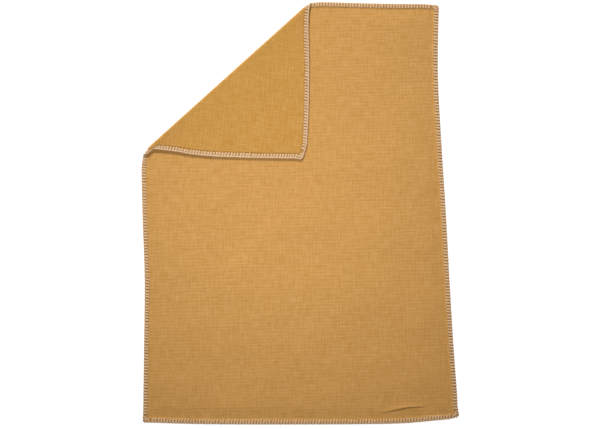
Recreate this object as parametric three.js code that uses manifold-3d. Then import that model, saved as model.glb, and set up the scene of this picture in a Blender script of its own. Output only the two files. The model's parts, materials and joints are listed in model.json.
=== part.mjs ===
// A woven throw blanket lying flat, with one corner turned over along a diagonal fold.
// Millimetres, +Z up. The origin is under the middle of the whole outline, on the surface the throw lies on.
// +X runs across the width, +Y along the length towards the end whose corner is turned over.
import * as THREE from 'three';
import { mergeVertices } from 'three/addons/utils/BufferGeometryUtils.js';
import Module from 'manifold-3d';

// ---- Driving dimensions ----
const throwWidth = 1300;        // cut width of the cloth
const throwLength = 1800;       // cut length of the cloth
const clothThickness = 3.5;     // woven cloth lying loose
const hemThickness = 2.4;       // the same cloth squeezed between the edging yarns
const yarnThickness = 2.2;      // edging yarn, flattened against the cloth
const edgingDepth = 21;         // how far the edging stitches reach in from the edge
const cornerReach = 34;         // length of each side that a corner's fan of stitches takes
const cornerRadius = 12;        // rounding of a corner that lies flat
const turnedTipRadius = 20;     // rounding of the turned corner's tip
const foldAngle = 42;           // degrees between the fold and the short sides
const foldDrop = 634;           // distance down the left side from its cut corner to the fold
const gap = 0.3;                // clearance between two pieces that touch

// How far each side lies outside (+) or inside (-) its straight cut line, at equal steps along it,
// going round clockwise seen from above. A throw laid out by hand is never quite square.
const topDrift = [51, 44, 30, 11, 3, -3, -9];
const rightDrift = [-33, -37, -22, -3, 13, 31, 54];
const bottomDrift = [-20, 3, 8, 9, 9, 7, 0];
const leftDrift = [4, 0, -3, 7, 10, -14, -36];

// ---- Resolution ----
const sideSteps = 26;           // facets along a whole side
const cornerSteps = 5;
const rollSteps = 7;            // facets in a quarter turn of the fold

// ---- Sizes that follow ----
const edgeThickness = hemThickness + 2 * yarnThickness + 2 * gap;
const hemBottom = yarnThickness + gap;
const hemTop = hemBottom + hemThickness;
const foldRadius = edgeThickness + gap / 2;   // outer radius of the roll, so that two edges stack inside it
const foldMiddle = foldRadius;                // height of the fold's axis
const hemInset = yarnThickness + gap;         // the cut edge of the cloth, inside the loops of yarn
const fieldInset = edgingDepth + gap;         // where the loose cloth begins
const hemJoin = fieldInset + clothThickness;  // how far in the squeezed cloth reaches into the loose cloth
const rollOverrun = 2 * gap / foldRadius;     // angle by which a cutter in the roll clears what it cuts
const far = throwWidth + throwLength;         // longer than anything here, for cutting blocks

const wasm = await Module();
wasm.setup();

// ---- Materials ----
const clothFinish = { color: 0xcd9a55, roughness: 0.95, metalness: 0 };
const reverseFinish = { color: 0xcc984e, roughness: 0.95, metalness: 0 };
const yarnFinish = { color: 0xe3ba90, roughness: 0.85, metalness: 0 };

// ---- Solids ----
function solid(geometry) {
  const bare = new THREE.BufferGeometry();
  const source = geometry.index ? geometry.toNonIndexed() : geometry;
  bare.setAttribute('position', source.getAttribute('position'));
  const merged = mergeVertices(bare, 1e-4);
  return new wasm.Manifold(new wasm.Mesh({
    numProp: 3,
    vertProperties: new Float32Array(merged.attributes.position.array),
    triVerts: new Uint32Array(merged.index.array),
  }));
}

function geometryOf(body) {
  const mesh = body.getMesh();
  const geometry = new THREE.BufferGeometry();
  geometry.setAttribute('position', new THREE.BufferAttribute(mesh.vertProperties, 3));
  geometry.setIndex(new THREE.BufferAttribute(mesh.triVerts, 1));
  return geometry;
}

// An upright slab with the given outline, from one height to another.
function slab(points, bottom, top) {
  const geometry = new THREE.ExtrudeGeometry(new THREE.Shape(points), {
    depth: top - bottom,
    bevelEnabled: false,
  });
  return solid(geometry.translate(0, 0, bottom));
}

// ---- The four sides, clockwise from above ----
function makeSide(name, along, halfAcross, drift) {
  return { name, along, outward: new THREE.Vector2(-along.y, along.x), halfAcross, drift };
}

const sides = [
  makeSide('top', new THREE.Vector2(1, 0), throwLength / 2, topDrift),
  makeSide('right', new THREE.Vector2(0, -1), throwWidth / 2, rightDrift),
  makeSide('bottom', new THREE.Vector2(-1, 0), throwLength / 2, bottomDrift),
  makeSide('left', new THREE.Vector2(0, 1), throwWidth / 2, leftDrift),
];
const [topSide, rightSide, bottomSide, leftSide] = sides;
const before = (side) => sides[(sides.indexOf(side) + 3) % 4];
const after = (side) => sides[(sides.indexOf(side) + 1) % 4];

// A side runs from its crossing with the side before it to its crossing with the side after it.
for (const side of sides) {
  const start = -(before(side).halfAcross + before(side).drift.at(-1));
  const end = after(side).halfAcross + after(side).drift[0];
  side.curve = new THREE.SplineCurve(side.drift.map((drift, i) => {
    const reach = THREE.MathUtils.lerp(start, end, i / (side.drift.length - 1));
    return side.along.clone().multiplyScalar(reach).addScaledVector(side.outward, side.halfAcross + drift);
  }));
  side.length = side.curve.getLength();
}

// A point on a side, moved in from the edge. Reach is the distance from the side's start.
function sidePoint(side, reach, inset) {
  const share = reach / side.length;
  const tangent = side.curve.getTangentAt(share);
  const outward = new THREE.Vector2(-tangent.y, tangent.x);
  return side.curve.getPointAt(share).addScaledVector(outward, -inset);
}

function sideStretch(side, from, to, inset) {
  const count = Math.max(2, Math.ceil(sideSteps * (to - from) / side.length));
  return Array.from({ length: count + 1 }, (_, i) =>
    sidePoint(side, THREE.MathUtils.lerp(from, to, i / count), inset));
}

// The crossing of two sides' end tangents, each moved in from its edge.
function cornerPoint(side, inset) {
  const p = sidePoint(side, side.length - cornerReach, inset);
  const q = sidePoint(after(side), cornerReach, inset);
  const u = side.curve.getTangentAt(1 - cornerReach / side.length);
  const v = after(side).curve.getTangentAt(cornerReach / after(side).length);
  const distance = q.sub(p).cross(v) / u.cross(v);
  return p.addScaledVector(u, distance);
}

// The rounded turn from the end of a side into the next one.
function cornerTurn(side, inset) {
  const radius = Math.max(side === leftSide ? turnedTipRadius : cornerRadius, inset) - inset;
  const corner = cornerPoint(side, inset);
  if (radius < gap) return [corner];
  const from = sidePoint(side, side.length - cornerReach, inset).sub(corner).normalize();
  const to = sidePoint(after(side), cornerReach, inset).sub(corner).normalize();
  const curve = new THREE.QuadraticBezierCurve(
    corner.clone().addScaledVector(from, radius),
    corner,
    corner.clone().addScaledVector(to, radius),
  );
  return curve.getPoints(cornerSteps);
}

// The whole outline of the throw laid open, moved in from its edge.
function outline(inset) {
  return sides.flatMap((side) => [
    ...sideStretch(side, cornerReach, side.length - cornerReach, inset),
    ...cornerTurn(side, inset),
  ]);
}

// ---- The fold ----
const foldTurn = THREE.MathUtils.degToRad(foldAngle);
const foldPoint = new THREE.Vector3(-throwWidth / 2, throwLength / 2 - foldDrop, foldMiddle);
const foldAlong = new THREE.Vector3(Math.cos(foldTurn), Math.sin(foldTurn), 0);

// Where a piece made beside the line X = 0 goes: X away from the throw, Y along the fold, Z up.
const atFold = new THREE.Matrix4()
  .makeTranslation(foldPoint.x, foldPoint.y, foldPoint.z)
  .multiply(new THREE.Matrix4().makeRotationZ(foldTurn - Math.PI / 2))
  .multiply(new THREE.Matrix4().makeScale(-1, -1, 1));

function block(low, high) {
  const size = new THREE.Vector3().subVectors(high, low);
  const geometry = new THREE.BoxGeometry(size.x, size.y, size.z);
  const middle = new THREE.Vector3().addVectors(low, high).multiplyScalar(0.5);
  return geometry.translate(middle.x, middle.y, middle.z);
}

// Everything at least the given distance from the fold, on the throw's side (-1) or beyond it (+1).
function sideOfFold(sign, distance) {
  const near = sign > 0 ? distance : -far;
  const other = sign > 0 ? far : -distance;
  const half = block(new THREE.Vector3(near, -far, -far), new THREE.Vector3(other, far, far));
  return solid(half.applyMatrix4(atFold));
}

const throwSide = sideOfFold(-1, foldRadius + gap);
const turnedSide = sideOfFold(1, foldRadius + gap);

// The turned corner rests on the cloth at its tip, so it slopes down from the fold.
const tipPoint = cornerPoint(leftSide, 0);
const tipDistance = Math.abs(
  new THREE.Vector2(tipPoint.x - foldPoint.x, tipPoint.y - foldPoint.y)
    .cross(new THREE.Vector2(foldAlong.x, foldAlong.y)),
);
const turnedBottom = 2 * foldMiddle - edgeThickness;      // underside of the turned edging at the fold
const slope = Math.atan2(turnedBottom - clothThickness - gap, tipDistance);

function turnAbout(point, direction, angle) {
  return new THREE.Matrix4()
    .makeTranslation(point.x, point.y, point.z)
    .multiply(new THREE.Matrix4().makeRotationAxis(direction, angle))
    .multiply(new THREE.Matrix4().makeTranslation(-point.x, -point.y, -point.z));
}

const turnedFlat = turnAbout(foldPoint, foldAlong, Math.PI);
const slopeStart = foldPoint.clone().add(new THREE.Vector3(0, 0, foldMiddle)).add(
  new THREE.Vector3(foldAlong.y, -foldAlong.x, 0).multiplyScalar(foldRadius + gap),
);
const turnedOver = turnAbout(slopeStart, foldAlong, slope).multiply(turnedFlat);

// Part of a rolled layer: a ring section between two radii, from one angle to another, along the fold.
function rolled(inner, outer, fromAngle, toAngle) {
  const section = new THREE.Shape();
  section.absarc(0, 0, outer, fromAngle, toAngle, false);
  if (inner > 0) section.absarc(0, 0, inner, toAngle, fromAngle, true);
  else section.lineTo(0, 0);
  const geometry = new THREE.ExtrudeGeometry(section, {
    depth: far,
    bevelEnabled: false,
    curveSegments: rollSteps,
  });
  geometry.translate(0, 0, -far / 2).rotateX(Math.PI / 2).translate(-foldRadius, 0, 0);
  return solid(geometry.applyMatrix4(atFold));
}

// A rolled layer between two insets from the edge. Its lower half follows the edge of the throw and its
// upper half the edge of the turned corner. Overrun, an angle, lets a cutter reach past each half's ends.
function rollWithin(inner, outer, inset, depth = 0, overrun = 0) {
  const whole = slab(outline(inset), -far, far);
  const lower = depth ? whole.subtract(slab(outline(depth), -far - gap, far + gap)) : whole;
  const upper = lower.transform(turnedFlat.toArray());
  const quarter = Math.PI / 2;
  return rolled(inner, outer, -quarter - overrun, overrun).intersect(lower)
    .add(rolled(inner, outer, -overrun, quarter + overrun).intersect(upper));
}

// ---- Cloth ----
const hem = slab(outline(hemInset), hemBottom, hemTop).subtract(slab(outline(hemJoin), 0, 2 * hemTop));
const openCloth = slab(outline(fieldInset), 0, clothThickness).add(hem);

const hemRadius = foldRadius - hemBottom;
const foldedCloth = rollWithin(foldRadius - clothThickness, foldRadius, fieldInset)
  .add(rollWithin(hemRadius - hemThickness, hemRadius, hemInset, hemJoin));

// ---- Edging ----
// One length of edging: yarn over, under and round the edge of the cloth.
function wrapped(shapeTo) {
  return slab(shapeTo(edgingDepth), 0, yarnThickness)
    .add(slab(shapeTo(edgingDepth), edgeThickness - yarnThickness, edgeThickness))
    .add(slab(shapeTo(yarnThickness), 0, edgeThickness));
}

function sideEdging(side) {
  const from = cornerReach + gap / 2;
  const to = side.length - cornerReach - gap / 2;
  return wrapped((depth) => [
    ...sideStretch(side, from, to, 0),
    ...sideStretch(side, from, to, depth).reverse(),
  ]);
}

function cornerEdging(side) {
  const from = side.length - cornerReach + gap / 2;
  const to = cornerReach - gap / 2;
  return wrapped((depth) => [
    sidePoint(side, from, 0),
    ...cornerTurn(side, 0),
    sidePoint(after(side), to, 0),
    sidePoint(after(side), to, depth),
    ...cornerTurn(side, depth).reverse(),
    sidePoint(side, from, depth),
  ]);
}

const edgeOfFold = rollWithin(0, foldRadius, 0, edgingDepth)
  .subtract(rollWithin(hemRadius - hemThickness - gap, hemRadius + gap, yarnThickness, 0, rollOverrun))
  .subtract(rollWithin(foldRadius - clothThickness - gap, foldRadius + gap, edgingDepth, 0, rollOverrun));
const upperEnd = solid(block(
  new THREE.Vector3(-far, -far, -far),
  new THREE.Vector3(far, -foldDrop / 2, far),
).applyMatrix4(atFold));

// ---- The throw ----
const throwBlanket = new THREE.Group();

function place(name, body, finish, matrix) {
  const mesh = new THREE.Mesh(geometryOf(body), new THREE.MeshStandardMaterial(finish));
  mesh.name = name;
  if (matrix) mesh.applyMatrix4(matrix);
  throwBlanket.add(mesh);
}

place('cloth_field', openCloth.intersect(throwSide), clothFinish);
place('cloth_fold_roll', foldedCloth, clothFinish);
place('cloth_turned_corner', openCloth.intersect(turnedSide), reverseFinish, turnedOver);

for (const side of sides) {
  const edging = sideEdging(side);
  const isFolded = side === topSide || side === leftSide;
  place(`edging_${side.name}`, isFolded ? edging.intersect(throwSide) : edging, yarnFinish);
  if (isFolded) place(`edging_turned_${side.name}`, edging.intersect(turnedSide), yarnFinish, turnedOver);
}

place('edging_fold_end_top', edgeOfFold.intersect(upperEnd), yarnFinish);
place('edging_fold_end_left', edgeOfFold.subtract(upperEnd), yarnFinish);

place('corner_stitches_top_right', cornerEdging(topSide), yarnFinish);
place('corner_stitches_bottom_right', cornerEdging(rightSide), yarnFinish);
place('corner_stitches_bottom_left', cornerEdging(bottomSide), yarnFinish);
place('corner_stitches_turned_tip', cornerEdging(leftSide), yarnFinish, turnedOver);

const spread = new THREE.Box3().setFromObject(throwBlanket, true);
const middle = spread.getCenter(new THREE.Vector3());
throwBlanket.position.set(-middle.x, -middle.y, -spread.min.z);

export default throwBlanket;
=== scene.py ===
import json
import math

import bmesh
import bpy
import numpy as np
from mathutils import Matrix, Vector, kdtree


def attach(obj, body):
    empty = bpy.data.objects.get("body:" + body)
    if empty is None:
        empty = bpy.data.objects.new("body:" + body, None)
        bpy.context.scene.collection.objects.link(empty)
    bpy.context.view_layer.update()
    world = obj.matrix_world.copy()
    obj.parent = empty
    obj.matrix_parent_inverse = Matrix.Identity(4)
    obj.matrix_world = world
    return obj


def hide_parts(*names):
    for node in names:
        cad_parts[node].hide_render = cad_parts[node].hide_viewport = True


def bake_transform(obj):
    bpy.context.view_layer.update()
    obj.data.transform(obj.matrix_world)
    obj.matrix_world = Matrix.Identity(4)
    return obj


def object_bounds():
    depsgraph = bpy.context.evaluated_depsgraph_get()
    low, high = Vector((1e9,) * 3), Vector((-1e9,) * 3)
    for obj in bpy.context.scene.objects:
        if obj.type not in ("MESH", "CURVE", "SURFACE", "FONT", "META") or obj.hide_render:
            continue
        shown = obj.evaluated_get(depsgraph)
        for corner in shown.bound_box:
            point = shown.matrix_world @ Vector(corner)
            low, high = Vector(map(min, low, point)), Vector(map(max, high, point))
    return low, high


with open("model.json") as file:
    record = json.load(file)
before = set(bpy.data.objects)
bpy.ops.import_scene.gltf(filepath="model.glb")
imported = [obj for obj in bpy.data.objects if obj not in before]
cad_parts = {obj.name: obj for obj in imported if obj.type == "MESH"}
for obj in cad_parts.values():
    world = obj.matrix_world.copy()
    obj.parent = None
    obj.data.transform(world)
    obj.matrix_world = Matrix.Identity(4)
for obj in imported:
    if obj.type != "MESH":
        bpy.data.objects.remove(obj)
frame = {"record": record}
cad_low, cad_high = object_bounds()
scene = bpy.context.scene

# ---- Driving dimensions, in metres ----
MM = 0.001
throw_width, throw_length = 1300 * MM, 1800 * MM
cloth_thickness = 3.5 * MM
hem_thickness = 2.4 * MM
edging_depth = 21 * MM
corner_reach = 34 * MM          # length of each side that a corner's fan of stitches takes
corner_radius = 12 * MM
turned_tip_radius = 20 * MM
fold_angle = math.radians(42)
fold_drop = 634 * MM
fold_radius = 7.55 * MM         # outer radius of the roll, and the height of the fold's axis
hem_inset = 2.5 * MM            # the cut edge of the cloth, inside the loops of yarn
hem_bottom = 2.5 * MM
hem_shade_reach, hem_shade_fade = 20 * MM, 2 * MM     # how far in from the edge the cloth gets painted shade for the loops of yarn over the hem, and over what that fades out
turned_drop = 4.3 * MM          # how far the turned corner comes down from the fold to its tip
settle_distance = 130 * MM      # over which most of that drop happens
drifts = {
    "top": [51, 44, 30, 11, 3, -3, -9],
    "right": [-33, -37, -22, -3, 13, 31, 54],
    "bottom": [-20, 3, 8, 9, 9, 7, 0],
    "left": [4, 0, -3, 7, 10, -14, -36],
}

# ---- Stitching ----
stitch_pitch = 12.5 * MM
bar_width, bar_thickness = 7.4 * MM, 2.0 * MM
bar_rings, bar_sides = 22, 10
ply_pitch = 11 * MM             # length of one turn of the yarn's two plies
ply_depth = 0.10
chain_inset = 4.4 * MM          # the braided line along the edge, on the reverse
chain_sway = 1.5 * MM
chain_step = 2.1 * MM
chain_height, chain_rise = 1.15 * MM, 0.35 * MM
strand_width, strand_thickness, strand_sides = 3.6 * MM, 1.5 * MM, 6
fan_stitches = 4
fan_narrowing = 0.75            # of a bar's width, in a corner's fan
fan_reach, fan_longest = 0.80, 1.15     # a fan stitch's share of the way in, and its most, in bar lengths
fan_heart = 2 * MM              # beyond the edging's depth, where a fan's stitches meet
corner_clear = 20 * MM          # length of side on each side of a corner that its rounded turn replaces
tube_end = 0.55                 # how far the ends of a bar narrow
lowest_yarn, highest_yarn = 0.02 * MM, 7.3 * MM
front_slant = {"top": -3.0 * MM, "right": -4.0 * MM, "bottom": -4.5 * MM, "left": -1.5 * MM}
reverse_slant = 8.0 * MM
reverse_widening = 1.12
# How much hand-worked stitches differ: depth and width as shares, slants and spacing in mm.
depth_varies, width_varies = (-0.07, 0.05), (0.92, 1.08)
slant_varies, reverse_slant_varies, spacing_varies = 0.9, 1.0, 0.7
varies_beyond = 5 * MM          # nearer to the edge a stitch keeps its shape
yarn_clear, chain_clear = 2 * MM, 6 * MM     # of the roll, for edging that belongs to one side of the fold

# ---- Cloth mesh ----
grid_step = 8.0 * MM
# Millimetres in from the cut edge.
edge_rows = [0, 3, 7, 11.5, 15.5, 18, 20, 22, 24.5, 28, 32, 36, 40, 44, 48, 52, 56, 60, 64, 70]
roll_margin = 10 * MM           # flat cloth on both sides of the roll that belongs to the fold's piece
roll_rows = 20
flat_edge = 60 * MM             # the cloth's waves fade out this far in from the hem

rng = np.random.RandomState(7)


# ---- Camera: straight down, the top of the throw at the top of the picture ----
def make_camera():
    height = 6.0
    view_share = 1.888          # the width of the view, in widths of the throw's box
    view_width = (cad_high[0] - cad_low[0]) * view_share
    data = bpy.data.cameras.new("camera")
    data.sensor_width = 36
    data.lens = data.sensor_width * height / view_width
    data.clip_end = 50
    camera = bpy.data.objects.new("camera", data)
    camera.location = (-0.3 * MM, -6.5 * MM, height)
    scene.collection.objects.link(camera)
    scene.camera = camera


make_camera()


# ---- The outline of the throw laid open ----
def spline(points, steps=300):
    """A smooth curve through evenly spaced points."""
    points = np.array(points, float)
    last = len(points) - 1
    t = np.linspace(0, last, last * steps + 1)
    i = np.minimum(t.astype(int), last - 1)
    f = (t - i)[:, None]
    p0, p1 = points[np.maximum(i - 1, 0)], points[i]
    p2, p3 = points[i + 1], points[np.minimum(i + 2, last)]
    v0, v1 = (p2 - p0) / 2, (p3 - p1) / 2
    return (2 * p1 - 2 * p2 + v0 + v1) * f**3 + (-3 * p1 + 3 * p2 - 2 * v0 - v1) * f**2 + v0 * f + p1


def lengths_along(points):
    return np.concatenate([[0], np.cumsum(np.linalg.norm(np.diff(points, axis=0), axis=1))])


def resampled(points, fractions):
    """Points at the given fractions of a polyline's length."""
    reach = lengths_along(points)
    at = np.asarray(fractions) * reach[-1]
    return np.stack([np.interp(at, reach, points[:, k]) for k in range(points.shape[1])], 1)


class Side:
    def __init__(self, name, along, half_across):
        self.name, self.along, self.half_across = name, np.array(along, float), half_across
        self.drift = np.array(drifts[name]) * MM

    def shape(self, before, after, shift):
        out = np.array([-self.along[1], self.along[0]])
        start = -(before.half_across + before.drift[-1])
        end = after.half_across + after.drift[0]
        reach = np.linspace(start, end, len(self.drift))
        across = self.half_across + self.drift
        self.points = spline(reach[:, None] * self.along + across[:, None] * out) + shift
        tangent = np.gradient(self.points, axis=0)
        tangent /= np.linalg.norm(tangent, axis=1)[:, None]
        self.outward = np.stack([-tangent[:, 1], tangent[:, 0]], 1)
        self.reach = lengths_along(self.points)
        self.length = self.reach[-1]

    def at(self, reach, inset=0.0):
        """The point at a distance along the side and in from its edge."""
        p = np.stack([np.interp(reach, self.reach, self.points[:, k]) for k in (0, 1)], -1)
        return p - self.out(reach) * np.asarray(inset)[..., None]

    def out(self, reach):
        return np.stack([np.interp(reach, self.reach, self.outward[:, k]) for k in (0, 1)], -1)


fold_joint = frame["record"]["behaviour"]["joints"][0]
fold_pos = np.array(fold_joint["pos_m"])
fold_point = fold_pos[:2]
shift = fold_point - np.array([-throw_width / 2, throw_length / 2 - fold_drop])
fold_along = np.array([math.cos(fold_angle), math.sin(fold_angle)])
fold_away = np.array([-fold_along[1], fold_along[0]])     # from the throw towards the turned corner
# Where the left side's inward way points once the corner is turned over.
turned_inward = 2 * fold_along[0] * fold_along - np.array([1, 0])

sides = [
    Side("top", (1, 0), throw_length / 2),
    Side("right", (0, -1), throw_width / 2),
    Side("bottom", (-1, 0), throw_length / 2),
    Side("left", (0, 1), throw_width / 2),
]
for k, side in enumerate(sides):
    side.shape(sides[k - 1], sides[(k + 1) % 4], shift)
top, right, bottom, left = sides


def next_side(side):
    return sides[(sides.index(side) + 1) % 4]


def corner_turn(side, inset, steps=12):
    """The rounded turn from the end of a side into the next one, as points."""
    other = next_side(side)
    p = side.at(side.length - corner_reach, inset)
    q = other.at(corner_reach, inset)
    a, b = side.out(side.length - corner_reach), other.out(corner_reach)
    u, v = np.array([a[1], -a[0]]), np.array([b[1], -b[0]])
    cross = lambda m, n: m[0] * n[1] - m[1] * n[0]
    corner = p + u * (cross(q - p, v) / cross(u, v))
    radius = max(turned_tip_radius if side is left else corner_radius, inset) - inset
    start = corner - u * radius
    end = corner + v * radius
    t = np.linspace(0, 1, steps + 1)[:, None]
    return start * (1 - t) ** 2 + corner * 2 * t * (1 - t) + end * t**2


def rim(side, inset):
    """A side's edge from the middle of one rounded corner to the middle of the next."""
    before = sides[sides.index(side) - 1]
    first, last = corner_turn(before, inset), corner_turn(side, inset)
    half = len(first) // 2
    reach = np.linspace(corner_reach, side.length - corner_reach, 400)
    return np.concatenate([first[half:], side.at(reach, inset), last[: half + 1]])


edge_tree_points = np.concatenate([resampled(rim(s, 0.0), np.linspace(0, 1, 1800)) for s in sides])
edge_tree = kdtree.KDTree(len(edge_tree_points))
for k, (x, y) in enumerate(edge_tree_points):
    edge_tree.insert((x, y, 0), k)
edge_tree.balance()


def inset_of(xy):
    """Distance in from the edge of the throw laid open."""
    return np.array([edge_tree.find((x, y, 0))[2] for x, y in xy])


def ease(t):
    t = np.clip(t, 0, 1)
    return t * t * (3 - 2 * t)


# ---- Turning the corner over: w is the distance past the fold, s the distance along it ----
def fold_coordinates(xy):
    offset = xy - fold_point
    return offset @ fold_away, offset @ fold_along


def fold_end(side, inset=0.0):
    """How far along the fold it crosses a side's edge."""
    w, s = fold_coordinates(side.points - side.outward * inset)
    order = np.argsort(w)
    near = np.abs(w[order]) < 0.2       # metres, so that the far end of the side stays out
    return float(np.interp(0, w[order][near], s[order][near]))


left_end, top_end = fold_end(left), fold_end(top)
# Each end of the fold droops in: where along the fold, by how much, and over what width.
end_pulls = [(left_end, 9 * MM, 30 * MM), (top_end, 5 * MM, 18 * MM)]
fold_pull, end_depth = 2.3 * MM, 75 * MM

# How far the turned corner's lower edge waves in (+) or out (-), at distances along it from the fold.
wave_at = np.array([0, 40, 75, 110, 150, 190, 250, 330, 450, 600, 700]) * MM
wave_by = np.array([20, 22, 20, 18, 14, 7, 1, -4, -4, -1, 1]) * MM
wave_depth, wave_start = 95 * MM, 32 * MM

tip = corner_turn(left, 0.0).mean(0)
tip_slant, tip_reach, tip_depth = 14 * MM, 60 * MM, 60 * MM     # the tip's other edge slants in
spread, spread_depth = 14 * MM, 220 * MM      # how far the same edge swings out towards the tip
# Corners that stand out or draw in: which, by how much, and over what width, in mm.
flares = [(corner_turn(side, 0.0).mean(0), np.array(by) * MM, width * MM) for side, by, width in (
    (right, (-5, -4), 60), (right, (6, 8), 30), (top, (0, 4.5), 170), (top, (1, -4), 40),
    (bottom, (-2, -1), 30), (left, (-5, 1), 22))]


def laid(xy):
    """The throw laid open, with the small pulls that its corners and its turned edge got by hand."""
    for corner, by, width in flares:
        xy = xy + by * np.exp(-(((xy - corner) ** 2).sum(1) / width**2))[:, None]
    along = np.clip(1 - (xy[:, 0] - tip[0]) / tip_reach, 0, 1)
    depth = np.exp(-(((xy[:, 1] - tip[1]) / tip_depth) ** 2))
    w, _ = fold_coordinates(xy)
    fold_end_x = fold_point[0] + fold_drop / math.tan(fold_angle)
    share = np.clip((fold_end_x - xy[:, 0]) / (throw_width / 2), 0, 1)
    swing = spread * share * np.exp(-(((xy[:, 1] - tip[1]) / spread_depth) ** 2)) * ease(w / spread_depth)
    up = swing - tip_slant * along * depth * ease(w / tip_depth - 1)
    return xy + np.column_stack([np.zeros(len(xy)), up])


def edge_wave(xy, w):
    """How far each point of the turned corner moves in from its lower edge."""
    edge = np.interp(xy[:, 1], left.points[:, 1], left.points[:, 0])
    by = np.interp(xy[:, 1] - fold_point[1], wave_at, wave_by)
    return by * np.exp(-(((xy[:, 0] - edge) / wave_depth) ** 2)) * ease((w - fold_radius) / wave_start)


def folded(xy, z):
    """Where a point of the throw laid open goes once its corner is turned over."""
    xy = laid(xy)
    w, s = fold_coordinates(xy)
    angle = np.clip((w + fold_radius) / (2 * fold_radius), 0, 1) * math.pi - math.pi / 2
    r = fold_radius - z
    across = np.where(np.abs(w) <= fold_radius, -fold_radius + r * np.cos(angle), -np.abs(w))
    height = np.where(w <= -fold_radius, z, fold_radius + r * np.sin(angle))
    height = height - turned_drop * (1 - np.exp(-np.clip(w - fold_radius, 0, None) / settle_distance))
    pull = fold_pull + sum(by * np.exp(-(((s - end) / width) ** 2)) for end, by, width in end_pulls)
    across = across - pull * ease(1 + across / end_depth)
    flat = fold_point + across[:, None] * fold_away + s[:, None] * fold_along
    return np.column_stack([flat + edge_wave(xy, w)[:, None] * turned_inward, height])


# ---- Height of the cloth laid open ----
wave_terms = [(a * MM, 2 * math.pi / l, d, p) for a, l, d, p in zip(
    (0.55, 0.45, 0.40, 0.30, 0.25, 0.20), (0.62, 0.41, 0.29, 0.21, 0.16, 0.12),
    rng.uniform(0, math.pi, 6), rng.uniform(0, 2 * math.pi, 6))]
flat_from_fold, flat_fade = 540 * MM, 100 * MM
flat_beside, beside_fade = 50 * MM, 150 * MM
crease_x, crease_y = np.array([0.345, 0.463, 0.536]), np.array([-0.857, -0.833, -0.831])
crease_height, crease_back, crease_front = 3.2 * MM, 11 * MM, 2.0 * MM
crease_rows = np.array([54, 58, 62, 66, 68, 72, 74, 76]) * MM      # rows of the mesh added by its side


def waves(xy):
    total = sum(a * (1 + np.sin(k * (xy[:, 0] * math.cos(d) + xy[:, 1] * math.sin(d)) + p))
                for a, k, d, p in wave_terms)
    w, s = fold_coordinates(xy)
    # Under and in the turned corner the cloth lies flat.
    clear = ease((np.abs(w) - flat_from_fold) / flat_fade)
    beside = ease((np.maximum(left_end - s, s - top_end) - flat_beside) / beside_fade)
    return total * np.maximum(clear, beside)


def crease(xy):
    """A small pinched line in the cloth by the lower edge, steep on its lower side."""
    off = xy[:, 1] - np.interp(xy[:, 0], crease_x, crease_y)
    share = np.clip((xy[:, 0] - crease_x[0]) / (crease_x[-1] - crease_x[0]), 0, 1)
    width = np.where(off > 0, crease_back, crease_front)
    return crease_height * np.sin(math.pi * share) ** 0.6 * np.exp(-((off / width) ** 2))


def cloth_heights(xy):
    inset = inset_of(xy)
    loose = ease((inset - edging_depth) / cloth_thickness)
    lift = waves(xy) * ease((inset - edging_depth) / flat_edge) + crease(xy) * loose
    low = hem_bottom * (1 - loose) + lift
    return low, low + hem_thickness + (cloth_thickness - hem_thickness) * loose


# ---- Meshes ----
def new_object(name, vertices, faces, materials, material_index=None):
    mesh = bpy.data.meshes.new(name)
    mesh.from_pydata(vertices.tolist(), [], faces)
    mesh.polygons.foreach_set("use_smooth", np.ones(len(faces), bool))
    for m in materials:
        mesh.materials.append(m)
    if material_index is not None:
        mesh.polygons.foreach_set("material_index", np.asarray(material_index, np.int32))
    mesh.update()
    obj = bpy.data.objects.new(name, mesh)
    scene.collection.objects.link(obj)
    return obj


def set_vector(obj, name, values):
    attribute = obj.data.attributes.new(name, "FLOAT_VECTOR", "POINT")
    attribute.data.foreach_set("vector", np.asarray(values, np.float32).ravel())


weave_tilt = math.radians(1.2)


def weave_coordinates(xy):
    """Coordinates along the threads, and a mask of painted shade for the hem under the loops of yarn: 1
    there, 0 beyond it.
    """
    c, s = math.cos(weave_tilt), math.sin(weave_tilt)
    hem_shade = 1 - ease((inset_of(xy) - hem_shade_reach) / hem_shade_fade)
    return np.column_stack([xy[:, 0] * c + xy[:, 1] * s, xy[:, 1] * c - xy[:, 0] * s, hem_shade])


def cloth_object(name, xy, faces, materials):
    """A closed sheet over a flat mesh: its face, its reverse and the walls between them."""
    low, high = cloth_heights(xy)
    n = len(xy)
    directed = {(a, b) for f in faces for a, b in zip(f, f[1:] + f[:1])}
    border = sorted((a, b) for a, b in directed if (b, a) not in directed)
    # The walls have vertices of their own, so that they don't tilt the shading of the cloth beside them.
    rim_points = sorted({i for pair in border for i in pair})
    place = {i: k for k, i in enumerate(rim_points)}
    m = len(rim_points)
    upper, lower = 2 * n, 2 * n + m
    walls = [[upper + place[b], upper + place[a], lower + place[a], lower + place[b]] for a, b in border]
    face, reverse = folded(xy, high), folded(xy, low)
    vertices = np.concatenate([face, reverse, face[rim_points], reverse[rim_points]])
    all_faces = faces + [[i + n for i in reversed(f)] for f in faces] + walls
    index = [0] * len(faces) + [1] * (len(faces) + len(walls))
    obj = new_object(name, vertices, all_faces, materials, index)
    weave = weave_coordinates(xy)
    # The attribute flat carries the weave's coordinates and, as its third value, the hem's mask of painted
    # shade.
    set_vector(obj, "flat", np.concatenate([weave, weave, weave[rim_points], weave[rim_points]]))
    return obj


def spaced(length):
    """Fractions from 0 to 1, close together by both ends."""
    near = np.array(edge_rows) * MM
    count = max(2, int(round((length - 2 * near[-1]) / grid_step)))
    middle = np.linspace(near[-1], length - near[-1], count + 1)[1:-1]
    return np.concatenate([near, middle, (length - near)[::-1]]) / length


def grid_faces(rows, columns):
    return [[r * columns + c, r * columns + c + 1, (r + 1) * columns + c + 1, (r + 1) * columns + c]
            for r in range(rows - 1) for c in range(columns - 1)]


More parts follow.
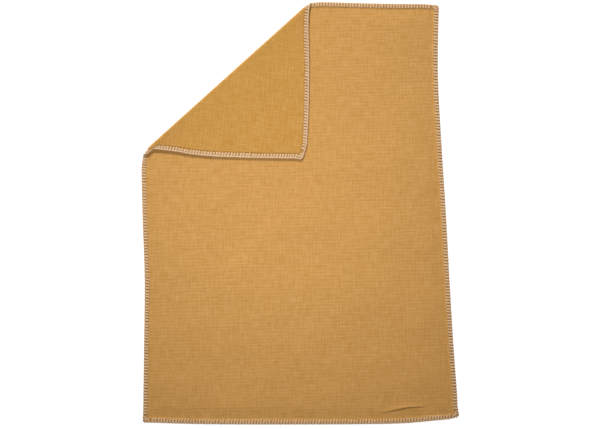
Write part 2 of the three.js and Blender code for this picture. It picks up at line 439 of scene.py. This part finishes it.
def flat_grid():
    """The whole cloth laid open, as a grid fitted between its four edges."""
    u, v = spaced(throw_width), np.sort(np.concatenate([spaced(throw_length), crease_rows / throw_length]))
    t, b = resampled(rim(top, hem_inset), u), resampled(rim(bottom, hem_inset)[::-1], u)
    l, r = resampled(rim(left, hem_inset), v), resampled(rim(right, hem_inset)[::-1], v)
    uu, vv = u[None, :, None], v[:, None, None]
    across = l[:, None] * (1 - uu) + r[:, None] * uu
    along = b[None] * (1 - vv) + t[None] * vv
    corners = (b[0] * (1 - uu) + b[-1] * uu) * (1 - vv) + (t[0] * (1 - uu) + t[-1] * uu) * vv
    return (across + along - corners).reshape(-1, 2), grid_faces(len(v), len(u))


def cut(xy, faces, distance, keep_beyond):
    """The part of a flat mesh on one side of a line beside the fold."""
    bm = bmesh.new()
    verts = [bm.verts.new((x, y, 0)) for x, y in xy]
    for f in faces:
        bm.faces.new([verts[i] for i in f])
    point = fold_point + fold_away * distance
    bmesh.ops.bisect_plane(
        bm, geom=bm.verts[:] + bm.edges[:] + bm.faces[:], dist=1e-6,
        plane_co=(*point, 0), plane_no=(*fold_away, 0),
        clear_inner=keep_beyond, clear_outer=not keep_beyond)
    bm.verts.index_update()
    result = np.array([v.co[:2] for v in bm.verts]), [[v.index for v in f.verts] for f in bm.faces]
    bm.free()
    return result


def crossing(side, inset, w_at):
    """Where a line beside the fold crosses a side's edge."""
    points = rim(side, inset)
    w, _ = fold_coordinates(points)
    order = np.argsort(w)
    return np.array([np.interp(w_at, w[order], points[order, k]) for k in (0, 1)])


def roll_grid():
    reach = fold_radius + roll_margin
    flat = [-reach, -reach + roll_margin / 2]
    rows = flat + list(np.linspace(-fold_radius, fold_radius, roll_rows + 1)) + [-f for f in reversed(flat)]
    s = spaced(top_end - left_end)
    points = [crossing(left, hem_inset, w) * (1 - s[:, None]) + crossing(top, hem_inset, w) * s[:, None]
              for w in rows]
    return np.concatenate(points), grid_faces(len(rows), len(s))


# ---- Yarn ----
class Yarn:
    """Tubes of yarn gathered into one mesh, all in the throw laid open and then turned over with it."""

    def __init__(self):
        self.xy, self.z, self.faces, self.marks = [], [], [], []
        self.count = 0

    def tube(self, xy, z, wide, width, thickness, sides=bar_sides, taper=True):
        path = np.column_stack([xy, z])
        tangent = np.gradient(path, axis=0)
        tangent /= np.linalg.norm(tangent, axis=1)[:, None]
        wide = np.column_stack([wide, np.zeros(len(wide))])
        wide = wide - (wide * tangent).sum(1)[:, None] * tangent
        wide /= np.linalg.norm(wide, axis=1)[:, None]
        thin = np.cross(tangent, wide)
        along = lengths_along(path)
        turn = np.arange(sides) / sides * 2 * math.pi
        twist = 2 * math.pi * along[:, None] / ply_pitch
        radius = 1 + ply_depth * np.cos(2 * (turn[None] - twist))
        size = np.ones(len(path))
        if taper:
            size[[0, -1]] = tube_end
        radius = radius * size[:, None]
        width = np.broadcast_to(width, len(path))[:, None, None]
        ring = (path[:, None]
                + (np.cos(turn)[None] * radius)[..., None] * wide[:, None] * width / 2
                + (np.sin(turn)[None] * radius)[..., None] * thin[:, None] * thickness / 2)
        n, base = len(path), self.count
        for i in range(n - 1):
            for j in range(sides):
                k = (j + 1) % sides
                self.faces.append([base + i * sides + j, base + i * sides + k,
                                   base + (i + 1) * sides + k, base + (i + 1) * sides + j])
        self.faces.append([base + j for j in reversed(range(sides))])
        self.faces.append([base + (n - 1) * sides + j for j in range(sides)])
        flat = ring.reshape(-1, 3)
        self.xy.append(flat[:, :2])
        self.z.append(np.clip(flat[:, 2], lowest_yarn, highest_yarn))
        mark = np.empty((n, sides, 3))
        mark[..., 0] = along[:, None]
        mark[..., 1] = np.arange(sides)[None] / sides
        mark[..., 2] = rng.uniform()
        self.marks.append(mark.reshape(-1, 3))
        self.count += len(flat)

    def build(self, name, material):
        xy, z = np.concatenate(self.xy), np.concatenate(self.z)
        obj = new_object(name, folded(xy, z), self.faces, [material])
        set_vector(obj, "yarn", np.concatenate(self.marks))
        return obj


# A stitch in section, from its end on the face round to its end on the reverse:
# distance in from the edge, and height.
stitch_section = np.array([
    (20.3, 4.2), (19.4, 5.5), (17.0, 5.9), (12.0, 6.0), (6.5, 5.95), (2.8, 5.7), (1.25, 4.8), (1.05, 3.6),
    (1.5, 2.5), (3.5, 2.0), (7.0, 1.9), (9.5, 1.4), (13.0, 1.05), (17.0, 1.1), (19.2, 1.5), (20.3, 2.9)]) * MM
stitch_path = resampled(spline(stitch_section, 12), np.linspace(0, 1, bar_rings))
on_reverse = ease((stitch_section[8, 1] + 1.2 * MM - stitch_path[:, 1]) / (2 * MM))


def piece_of(side, xy):
    """The piece that a stretch of edging belongs to, by where it lies beside the fold."""
    if side not in (top, left):
        return side.name
    w, _ = fold_coordinates(xy)
    clear = fold_radius + yarn_clear
    if w.max() < -clear:
        return side.name
    return "turned_" + side.name if w.min() > clear else "fold_" + side.name


yarns = {}


def yarn_for(name):
    return yarns.setdefault(name, Yarn())


def stitch(side, reach):
    depth = 1 + rng.uniform(*depth_varies)
    lean = front_slant[side.name] + rng.uniform(-slant_varies, slant_varies) * MM
    back_lean = reverse_slant + rng.uniform(-reverse_slant_varies, reverse_slant_varies) * MM
    inset = stitch_path[:, 0] * np.where(stitch_path[:, 0] > varies_beyond, depth, 1)
    share = stitch_path[:, 0] / edging_depth
    along = reach + share * (lean * (1 - on_reverse) + back_lean * on_reverse)
    xy = side.at(along, inset)
    out = side.out(along)
    wide = np.stack([out[:, 1], -out[:, 0]], 1)
    width = bar_width * rng.uniform(*width_varies) * (1 + (reverse_widening - 1) * on_reverse)
    yarn_for(piece_of(side, xy)).tube(xy, stitch_path[:, 1], wide, width, bar_thickness)


def fan(side):
    """The stitches that spread round a corner from one place inside it."""
    name = "fan_" + side.name
    other = next_side(side)
    edge = np.concatenate([
        side.at(np.linspace(side.length - corner_reach, side.length - corner_clear, 20)),
        corner_turn(side, 0.0), other.at(np.linspace(corner_clear, corner_reach, 20))])
    heart = corner_turn(side, edging_depth + fan_heart).mean(0)
    starts = resampled(edge, (np.arange(fan_stitches) + 0.5) / fan_stitches)
    for p in starts:
        inward = heart - p
        reach = np.linalg.norm(inward)
        inward /= reach
        inset = stitch_path[:, 0] * min(fan_longest, fan_reach * reach / edging_depth)
        round_edge = stitch_path[:, 0] < 2 * MM
        inset[round_edge] = stitch_path[round_edge, 0]
        xy = p + inward * inset[:, None]
        wide = np.tile([-inward[1], inward[0]], (bar_rings, 1))
        yarn_for(name).tube(xy, stitch_path[:, 1], wide, bar_width * fan_narrowing, bar_thickness)
    chain(corner_path(side), name)


def corner_path(side):
    other = next_side(side)
    return np.concatenate([
        side.at(np.linspace(side.length - corner_reach, side.length - corner_clear, 12), chain_inset),
        corner_turn(side, chain_inset), other.at(np.linspace(corner_clear, corner_reach, 12), chain_inset)])


def chain(points, name):
    """Two strands that cross over each other along the edge, on the reverse."""
    length = lengths_along(points)[-1]
    count = max(4, int(length / chain_step))
    path = resampled(points, np.linspace(0, 1, count + 1))
    tangent = np.gradient(path, axis=0)
    tangent /= np.linalg.norm(tangent, axis=1)[:, None]
    normal = np.stack([-tangent[:, 1], tangent[:, 0]], 1)
    turns = max(1, round(length / stitch_pitch))
    phase = np.linspace(0, 2 * math.pi * turns, count + 1)
    for offset in (0, math.pi):
        sway = chain_sway * np.sin(phase + offset)
        z = chain_height + chain_rise * np.cos(phase + offset)
        yarn_for(name).tube(path + normal * sway[:, None], z, normal, strand_width, strand_thickness,
                            sides=strand_sides, taper=False)


def side_chain(side):
    reach = np.linspace(corner_reach, side.length - corner_reach, 1200)
    points = side.at(reach, chain_inset)
    if side not in (top, left):
        chain(points, side.name)
        return
    w, _ = fold_coordinates(points)
    limit = fold_radius + chain_clear
    for name, part in ((side.name, w < -limit), ("fold_" + side.name, np.abs(w) <= limit),
                       ("turned_" + side.name, w > limit)):
        chain(points[part], name)


for side in sides:
    span = side.length - 2 * corner_reach
    count = round(span / stitch_pitch)
    for i in range(count):
        shifted = rng.uniform(-spacing_varies, spacing_varies) * MM
        stitch(side, corner_reach + (i + 0.5) * span / count + shifted)
    side_chain(side)
for side in sides:
    fan(side)


# ---- Materials ----
class Nodes:
    def __init__(self, name):
        self.material = bpy.data.materials.new(name)
        self.material.use_nodes = True
        self.tree = self.material.node_tree
        self.shader = self.tree.nodes["Principled BSDF"]

    def node(self, kind, **settings):
        n = self.tree.nodes.new(kind)
        for key, value in settings.items():
            setattr(n, key, value)
        return n

    def put(self, value, socket):
        if isinstance(value, bpy.types.NodeSocket):
            self.tree.links.new(value, socket)
        else:
            socket.default_value = value

    def math(self, operation, *values):
        n = self.node("ShaderNodeMath", operation=operation)
        for socket, value in zip(n.inputs, values):
            self.put(value, socket)
        return n.outputs[0]

    def vector(self, x, y, z=0.0):
        n = self.node("ShaderNodeCombineXYZ")
        for socket, value in zip(n.inputs, (x, y, z)):
            self.put(value, socket)
        return n.outputs[0]

    def attribute(self, name):
        n = self.node("ShaderNodeAttribute", attribute_name=name)
        split = self.node("ShaderNodeSeparateXYZ")
        self.tree.links.new(n.outputs["Vector"], split.inputs[0])
        return list(split.outputs)

    def noise(self, vector, scale=1.0, detail=2.0):
        """Noise about zero."""
        n = self.node("ShaderNodeTexNoise", noise_dimensions="3D")
        self.put(vector, n.inputs["Vector"])
        n.inputs["Scale"].default_value = scale
        n.inputs["Detail"].default_value = detail
        return self.math("SUBTRACT", n.outputs["Fac"], 0.5)

    def sum(self, *values):
        total = values[0]
        for value in values[1:]:
            total = self.math("ADD", total, value)
        return total

    def times(self, a, b):
        return self.math("MULTIPLY", a, b)

    def scaled(self, colour, amount):
        n = self.node("ShaderNodeVectorMath", operation="SCALE")
        n.inputs[0].default_value = colour
        self.put(amount, n.inputs["Scale"])
        return n.outputs[0]

    def finish(self, colour, brightness, height, distance, roughness, pale=None):
        scaled = self.scaled(colour, brightness)
        if pale is not None:
            both = self.node("ShaderNodeVectorMath", operation="ADD")
            self.put(scaled, both.inputs[0])
            self.put(self.scaled((1.0, 0.9, 0.7), pale), both.inputs[1])
            scaled = both.outputs[0]
        self.tree.links.new(scaled, self.shader.inputs["Base Color"])
        bump = self.node("ShaderNodeBump")
        bump.inputs["Distance"].default_value = distance
        bump.inputs["Strength"].default_value = 0.8
        self.put(height, bump.inputs["Height"])
        self.tree.links.new(bump.outputs[0], self.shader.inputs["Normal"])
        self.put(roughness, self.shader.inputs["Roughness"])
        self.shader.inputs["Specular IOR Level"].default_value = 0.15
        self.shader.inputs["Sheen Weight"].default_value = 0.05
        self.shader.inputs["Sheen Roughness"].default_value = 0.5
        return self.material


thread_across, thread_along = 2.75 * MM, 2.8 * MM
group_across, group_along = 11 * MM, 14 * MM
# Noise scales along x and y, per metre: the warp's streaks run along y and the weft's along x.
warp_grain, weft_grain = (130.0, 18.0), (18.0, 115.0)


def cloth_material(name, colour):
    """A plain weave of thick uneven threads, which lie in small groups."""
    n = Nodes(name)
    # The third value is the hem's mask of painted shade: the hem is darkened by a fifth in the brightness
    # below.
    x, y, hem_shade = n.attribute("flat")
    u, v = n.math("DIVIDE", x, thread_across), n.math("DIVIDE", y, thread_along)

    def threads(a, b, opposite):
        crown = n.math("COSINE", n.times(n.math("SUBTRACT", n.math("FRACT", a), 0.5), math.pi))
        order = n.times(n.math("FLOOR", a), math.pi)
        over = n.math("COSINE", n.sum(n.times(n.math("SUBTRACT", b, 0.5), math.pi), order, opposite))
        return n.times(crown, n.math("MULTIPLY_ADD", over, 0.5, 0.5))

    warp, weft = threads(u, v, 0.0), threads(v, u, math.pi)
    weave = n.math("MAXIMUM", warp, weft)
    group_u = n.math("COSINE", n.times(x, 2 * math.pi / group_across))
    group_v = n.math("COSINE", n.times(y, 2 * math.pi / group_along))
    warp_streak = n.noise(n.vector(n.times(x, warp_grain[0]), n.times(y, warp_grain[1])), detail=3)
    weft_streak = n.noise(n.vector(n.times(x, weft_grain[0]), n.times(y, weft_grain[1]), 5.0), detail=3)
    blotch = n.noise(n.vector(x, y, 3.0), scale=230.0, detail=2)
    patch = n.noise(n.vector(x, y, 2.0), scale=5.0)
    fibre = n.noise(n.vector(x, y, 9.0), scale=1400.0, detail=3)
    # The weave term lights the crowns of the threads and darkens the gaps between them: painted shade.
    brightness = n.sum(
        0.93, n.times(weave, 0.10), n.times(group_u, 0.029), n.times(group_v, 0.027),
        n.times(warp_streak, 0.09), n.times(weft_streak, 0.065), n.times(blotch, 0.17),
        n.times(patch, 0.06), n.times(fibre, 0.10), n.times(hem_shade, -0.20))
    pale = n.times(n.sum(warp_streak, weft_streak, blotch), 0.11)
    height = n.sum(weave, n.times(group_u, 0.12), n.times(group_v, 0.12), n.times(fibre, 0.3))
    return n.finish(colour, brightness, height, 0.9 * MM, n.math("MULTIPLY_ADD", patch, 0.1, 0.93), pale)


def yarn_material(name, colour):
    """Two plies twisted together, with fine fibres along them."""
    n = Nodes(name)
    along, around, own = n.attribute("yarn")
    turn = n.times(n.math("SUBTRACT", around, n.math("DIVIDE", along, ply_pitch)), 4 * math.pi)
    ply = n.math("COSINE", turn)
    fibre = n.noise(n.vector(n.times(turn, 2.2), n.times(along, 420.0), n.times(own, 40.0)), detail=3)
    soft = n.noise(n.vector(n.times(along, 90.0), n.times(own, 60.0)), detail=2)
    # The ply term lights the crests of the plies and darkens the grooves between them: painted shade.
    brightness = n.sum(
        0.90, n.times(ply, 0.06), n.times(fibre, 0.22), n.times(soft, 0.12), n.times(own, 0.07))
    height = n.sum(n.times(ply, 0.5), n.times(fibre, 0.6))
    return n.finish(colour, brightness, height, 0.5 * MM, n.math("MULTIPLY_ADD", fibre, 0.15, 0.85))


cloth_face = cloth_material("cloth_face", (0.664, 0.347, 0.098))
cloth_reverse = cloth_material("cloth_reverse", (0.612, 0.314, 0.0725))
edging_yarn = yarn_material("edging_yarn", (0.80, 0.53, 0.31))

# ---- The cloth ----
grid_xy, grid = flat_grid()
seam = fold_radius + roll_margin
cloth_materials = [cloth_face, cloth_reverse]
field = cloth_object("woven_cloth", *cut(grid_xy, grid, -seam, False), cloth_materials)
turned = cloth_object("turned_cloth", *cut(grid_xy, grid, seam, True), cloth_materials)
roll = cloth_object("fold_cloth", *roll_grid(), cloth_materials)

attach(field, "throw")
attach(turned, "turned_corner")


def blend_by_height(obj):
    """A piece in the fold, with its transform baked into its mesh, attached to neither body."""
    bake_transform(obj)


blend_by_height(roll)
for obj, node, slot in (
        (field, "cloth_field", "cloth_face"), (turned, "cloth_turned_corner", "cloth_reverse"),
        (roll, "cloth_fold_roll", "cloth_reverse")):
    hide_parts(node)

# ---- The edging: each piece with its body and the CAD node that it stands for ----
edging = {
    "top": ("throw", "edging_top"),
    "right": ("throw", "edging_right"),
    "bottom": ("throw", "edging_bottom"),
    "left": ("throw", "edging_left"),
    "turned_top": ("turned_corner", "edging_turned_top"),
    "turned_left": ("turned_corner", "edging_turned_left"),
    "fold_top": (None, "edging_fold_end_top"),
    "fold_left": (None, "edging_fold_end_left"),
    "fan_top": ("throw", "corner_stitches_top_right"),
    "fan_right": ("throw", "corner_stitches_bottom_right"),
    "fan_bottom": ("throw", "corner_stitches_bottom_left"),
    "fan_left": ("turned_corner", "corner_stitches_turned_tip"),
}
for name, (body, node) in edging.items():
    obj = yarns[name].build("stitches_" + name, edging_yarn)
    if body:
        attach(obj, body)
    else:
        blend_by_height(obj)
    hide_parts(node)


# ---- Floor and light ----
def make_floor():
    half = 30.0
    corners = np.array([(-half, -half, 0), (half, -half, 0), (half, half, 0), (-half, half, 0)])
    floor = new_object("floor", corners, [[0, 1, 2, 3]], [])
    floor.location.z = -0.1 * MM        # just below the lowest yarn, so that they share no plane
    n = Nodes("floor")
    n.shader.inputs["Base Color"].default_value = (0.25, 0.25, 0.25, 1)
    n.shader.inputs["Roughness"].default_value = 0.9
    n.shader.inputs["Emission Color"].default_value = (1, 1, 1, 1)
    n.shader.inputs["Emission Strength"].default_value = 0.9
    floor.data.materials.append(n.material)


def make_light(name, location, size, power):
    """A square soft light that points at the middle of the throw."""
    data = bpy.data.lights.new(name, "AREA")
    data.size = size
    data.energy = power
    light = bpy.data.objects.new(name, data)
    light.location = location
    light.visible_camera = False
    direction = -np.array(location, float)
    light.rotation_euler = (math.atan2(math.hypot(direction[0], direction[1]), -direction[2]), 0,
                            math.atan2(direction[0], -direction[1]) + math.pi)
    scene.collection.objects.link(light)


make_floor()
make_light("key_light", (-1.20, 5.32, 2.96), 0.8, 366)
make_light("overhead_light", (-0.10, -0.10, 1.29), 0.9, 8.4)
world = bpy.data.worlds.new("studio")
world.use_nodes = True
world.node_tree.nodes["Background"].inputs["Color"].default_value = (1, 1, 1, 1)
world.node_tree.nodes["Background"].inputs["Strength"].default_value = 0.182
scene.world = world
scene.view_settings.view_transform = "Standard"
